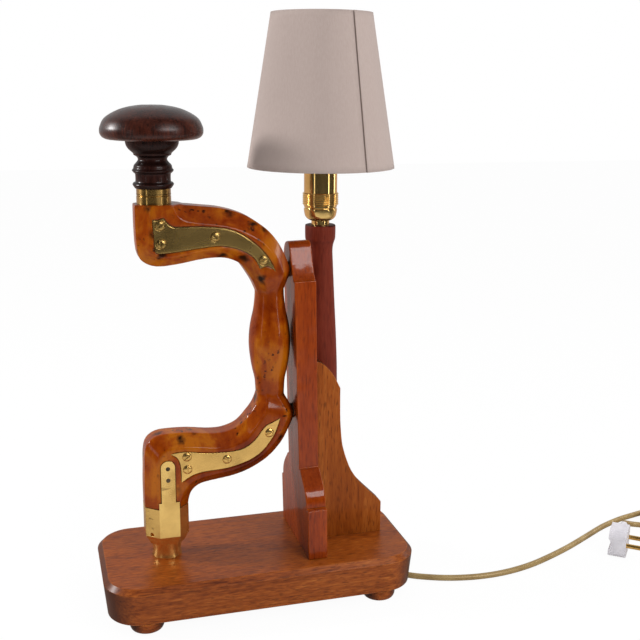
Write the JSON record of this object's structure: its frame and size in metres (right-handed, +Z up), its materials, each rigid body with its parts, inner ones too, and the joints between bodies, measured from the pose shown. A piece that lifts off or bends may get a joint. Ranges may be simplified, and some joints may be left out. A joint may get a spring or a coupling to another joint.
{
  "type": "table lamp",
  "caption": "Table lamp made from an old brass-plated wooden carpenter's brace on a mahogany board, with an upright, a turned post, a small lampholder, a tapered shade and a cord.",
  "frame": {"origin": "centre of the object's box at table height, without the cord", "axes": "+Z up, +X along the board from the brace to the post, -Y towards the front"},
  "size_m": [0.5839, 0.1378, 0.4601],
  "materials": {
    "mahogany": "satin varnish",
    "upright_wood": "gloss varnish",
    "post_wood": "satin varnish",
    "stock_wood": "waxed",
    "head_wood": "polished",
    "neck_wood": "polished",
    "pale_wood": "plain",
    "plate_brass": "aged",
    "bright_brass": "polished",
    "steel": "plain",
    "leather": "plain",
    "insulator": "plain",
    "bulb_glass": "frosted",
    "shade_wire": "satin",
    "shade_cloth": "fine weave",
    "cord_sheath": "satin",
    "clip_plastic": "plain",
    "plug_plastic": "moulded"
  },
  "bodies": {
    "lamp": {"board": "mahogany", "bracket": "mahogany", "feet": "mahogany", "upright": "upright_wood", "post": "post_wood", "stock": "stock_wood", "bracket_dowels": "pale_wood", "upper_plate_front": "plate_brass", "upper_plate_back": "plate_brass", "stock_collar": "plate_brass", "lower_plate_front": "bright_brass", "lower_plate_back": "bright_brass", "chuck": "bright_brass", "upper_plate_screws": "bright_brass", "lower_plate_screws": "bright_brass", "holder_cap": "bright_brass", "holder_ring": "bright_brass", "holder_barrel": "bright_brass", "nipple": "bright_brass", "nipple_nut": "bright_brass", "screw_shell": "bright_brass", "contact": "bright_brass", "shade_ring_lower": "bright_brass", "shade_ring_upper": "bright_brass", "plug_pins": "bright_brass", "base_screws": "steel", "brace_screws": "steel", "foot_screws": "steel", "chuck_peg": "steel", "strap_rivets": "steel", "spindle": "steel", "clip_pins": "steel", "bulb_cap": "steel", "packing_discs": "leather", "holder_insulator": "insulator", "bulb_glass": "bulb_glass", "flex": "cord_sheath", "cord": "cord_sheath", "cord_coil": "cord_sheath", "cord_tail": "cord_sheath", "cord_clip": "clip_plastic", "coil_tie": "clip_plastic", "plug": "plug_plastic"},
    "head": {"head_cap": "head_wood", "head_neck": "neck_wood", "head_ferrule": "bright_brass", "head_plug": "head_wood"},
    "shade": {"shade_cover": "shade_cloth", "shade_carrier": "shade_wire", "shade_top_ring": "shade_wire"}
  },
  "joints": [
    {"name": "head_spin", "type": "hinge", "parent": "lamp", "child": "head", "pos_m": [-0.0738, -0.01085, 0.3625], "axis": [0, 0, 1], "continuous": true},
    {"name": "shade_swivel", "type": "hinge", "parent": "lamp", "child": "shade", "pos_m": [0.06053, 0.01035, 0.3499], "axis": [0, 0, 1], "continuous": true}
  ]
}
